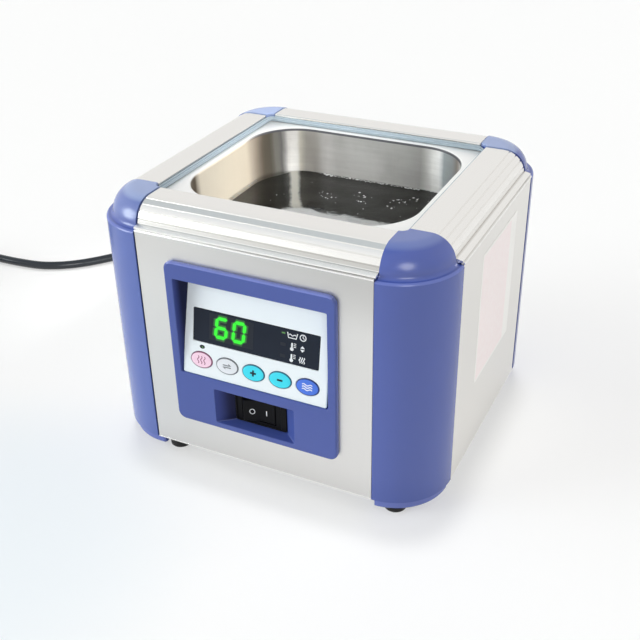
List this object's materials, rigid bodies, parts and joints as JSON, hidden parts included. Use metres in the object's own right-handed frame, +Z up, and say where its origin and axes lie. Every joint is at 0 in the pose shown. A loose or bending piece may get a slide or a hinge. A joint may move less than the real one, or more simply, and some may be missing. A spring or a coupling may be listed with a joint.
{
  "type": "ultrasonic cleaning bath",
  "caption": "Benchtop ultrasonic cleaning bath: a steel tank in an aluminium casing with round plastic corners, a front panel with display and keys, a rocker switch and a coiled mains cord.",
  "frame": {"origin": "on the table, under the middle of the casing and its bezel", "axes": "+X to the right seen from the front, +Y to the rear, +Z up"},
  "size_m": [0.5545, 0.3076, 0.1597],
  "materials": {
    "blue": "satin",
    "aluminium": "brushed",
    "steel": "drawn and polished",
    "zinc": "zinc plated",
    "rubber": "matte",
    "seal": "satin silicone",
    "ceramic": "matte ceramic",
    "silicone": "matte silicone",
    "board": "lacquered",
    "copper": "plain",
    "white": "satin film",
    "smoke": "dark glossy",
    "pink": "satin",
    "cyan": "satin",
    "key_blue": "satin",
    "black": "satin",
    "cord": "satin sheath",
    "brass": "plain"
  },
  "bodies": {
    "housing": {"base_plate": "zinc", "front_panel": "aluminium", "rear_panel": "aluminium", "left_panel": "aluminium", "right_panel": "aluminium", "corner_post_front_left": "blue", "corner_post_front_right": "blue", "corner_post_rear_left": "blue", "corner_post_rear_right": "blue", "corner_block_front_left": "blue", "corner_block_front_right": "blue", "corner_block_rear_left": "blue", "corner_block_rear_right": "blue", "corner_cap_front_left": "blue", "corner_cap_front_right": "blue", "corner_cap_rear_left": "blue", "corner_cap_rear_right": "blue", "top_rail_front": "aluminium", "top_rail_right": "aluminium", "top_rail_rear": "aluminium", "top_rail_left": "aluminium", "foot_front_left": "rubber", "foot_front_right": "rubber", "foot_rear_left": "rubber", "foot_rear_right": "rubber", "tank": "steel", "tank_seal": "seal", "sound_head_horn_left": "aluminium", "sound_head_horn_right": "aluminium", "sound_head_piezo_left": "ceramic", "sound_head_piezo_right": "ceramic", "sound_head_tail_left": "steel", "sound_head_tail_right": "steel", "heater_pad": "silicone", "temperature_sensor": "copper", "generator_board": "board", "heatsink": "aluminium", "transformer": "zinc", "control_bezel": "blue", "key_panel": "white", "display_window": "smoke", "control_board": "board", "digit_module": "black", "switch_body": "black", "cord_bush": "rubber", "mains_cord": "cord", "cord_coil": "cord", "cord_tie": "black", "plug_body": "black", "plug_blade_left": "brass", "plug_blade_right": "brass"},
    "rocker": {"switch_rocker": "black"},
    "heater_button": {"heater_key": "pink"},
    "display_button": {"display_key": "white"},
    "plus_button": {"plus_key": "cyan"},
    "minus_button": {"minus_key": "cyan"},
    "wash_button": {"wash_key": "key_blue"}
  },
  "joints": [
    {"name": "rocker_tip", "type": "hinge", "parent": "housing", "child": "rocker", "pos_m": [0, -0.089, 0.0462], "axis": [0, 0, -1], "range_deg": [0, 20]},
    {"name": "heater_press", "type": "slide", "parent": "housing", "child": "heater_button", "axis": [0, 0.9848, -0.1736], "range_m": [0, 0.0005], "stiffness_N_per_m": 600, "springref_m": -0.0003},
    {"name": "display_press", "type": "slide", "parent": "housing", "child": "display_button", "axis": [0, 0.9848, -0.1736], "range_m": [0, 0.0005], "stiffness_N_per_m": 600, "springref_m": -0.0003},
    {"name": "plus_press", "type": "slide", "parent": "housing", "child": "plus_button", "axis": [0, 0.9848, -0.1736], "range_m": [0, 0.0005], "stiffness_N_per_m": 600, "springref_m": -0.0003},
    {"name": "minus_press", "type": "slide", "parent": "housing", "child": "minus_button", "axis": [0, 0.9848, -0.1736], "range_m": [0, 0.0005], "stiffness_N_per_m": 600, "springref_m": -0.0003},
    {"name": "wash_press", "type": "slide", "parent": "housing", "child": "wash_button", "axis": [0, 0.9848, -0.1736], "range_m": [0, 0.0005], "stiffness_N_per_m": 600, "springref_m": -0.0003}
  ]
}
